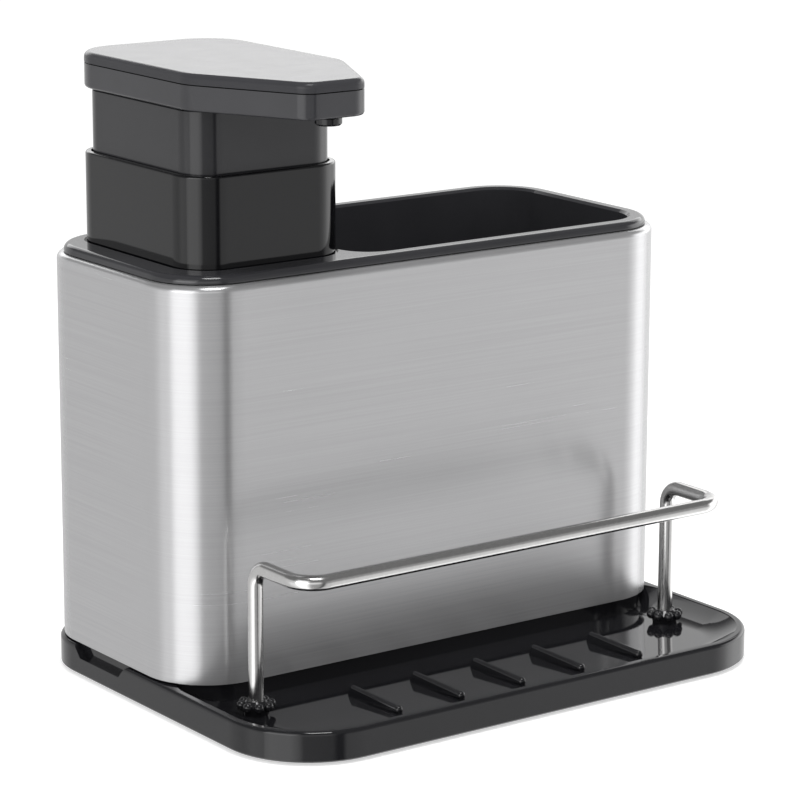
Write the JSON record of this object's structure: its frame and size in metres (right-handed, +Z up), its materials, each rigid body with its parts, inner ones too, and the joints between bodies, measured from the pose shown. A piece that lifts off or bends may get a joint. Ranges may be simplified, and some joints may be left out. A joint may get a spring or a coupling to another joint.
{
  "type": "soap dispenser with sponge caddy",
  "caption": "Countertop soap dispenser: press-down pump beside an open sponge pocket in a brushed steel housing, on a black tray with drying ribs and a wire rail.",
  "frame": {"origin": "centre of the tray's footprint, on the plane that the rubber feet stand on", "axes": "+Z up, -Y towards the front, where the rail and the nozzle are, +X towards the sponge pocket, on the right when seen from the front"},
  "size_m": [0.175, 0.132, 0.1781],
  "materials": {
    "tray_plastic": "high gloss black ABS",
    "foot_rubber": "matte",
    "rail_wire": "polished stainless wire",
    "ferrule_plastic": "gloss black",
    "nut_steel": "plain spring steel",
    "housing_steel": "horizontal brushed stainless",
    "liner_plastic": "gloss black ABS",
    "pump_plastic": "satin gloss black",
    "cover_plastic": "satin gloss black",
    "inner_plastic": "natural polypropylene",
    "tube_plastic": "translucent polyethylene",
    "seal_rubber": "soft silicone",
    "ball_steel": "polished stainless",
    "spring_steel": "drawn spring wire"
  },
  "bodies": {
    "base": {"base_tray": "tray_plastic", "foot_pad_1": "foot_rubber", "foot_pad_2": "foot_rubber", "foot_pad_3": "foot_rubber", "foot_pad_4": "foot_rubber", "wire_rail": "rail_wire", "rail_ferrule_left": "ferrule_plastic", "rail_ferrule_right": "ferrule_plastic", "rail_nut_left": "nut_steel", "rail_nut_right": "nut_steel"},
    "housing": {"steel_shell": "housing_steel", "inner_liner": "liner_plastic"},
    "pump": {"pump_collar": "pump_plastic", "collar_gasket": "seal_rubber", "pump_barrel": "inner_plastic", "barrel_cap": "inner_plastic", "dip_tube": "tube_plastic", "inlet_retainer": "inner_plastic", "return_spring": "spring_steel"},
    "head": {"head_body": "pump_plastic", "head_cover": "cover_plastic", "head_skirt": "pump_plastic", "pump_stem": "inner_plastic", "piston": "inner_plastic", "piston_seal": "seal_rubber", "stem_connector": "inner_plastic", "soap_channel": "tube_plastic", "nozzle": "ferrule_plastic"},
    "inlet_valve": {"inlet_ball": "ball_steel"},
    "outlet_valve": {"outlet_ball": "ball_steel"}
  },
  "joints": [
    {"name": "housing_lift", "type": "slide", "parent": "base", "child": "housing", "axis": [0, 0, 1], "range_m": [0, 0.03]},
    {"name": "pump_lift", "type": "slide", "parent": "housing", "child": "pump", "axis": [0, 0, 1], "range_m": [0, 0.108]},
    {"name": "head_press", "type": "slide", "parent": "pump", "child": "head", "axis": [0, 0, -1], "range_m": [0, 0.014], "stiffness_N_per_m": 300, "springref_m": -0.015, "deforming": ["return_spring"]},
    {"name": "inlet_ball_lift", "type": "slide", "parent": "pump", "child": "inlet_valve", "axis": [0, 0, 1], "range_m": [0, 0.0015]},
    {"name": "outlet_ball_lift", "type": "slide", "parent": "head", "child": "outlet_valve", "axis": [0, 0, 1], "range_m": [0, 0.0015]}
  ]
}
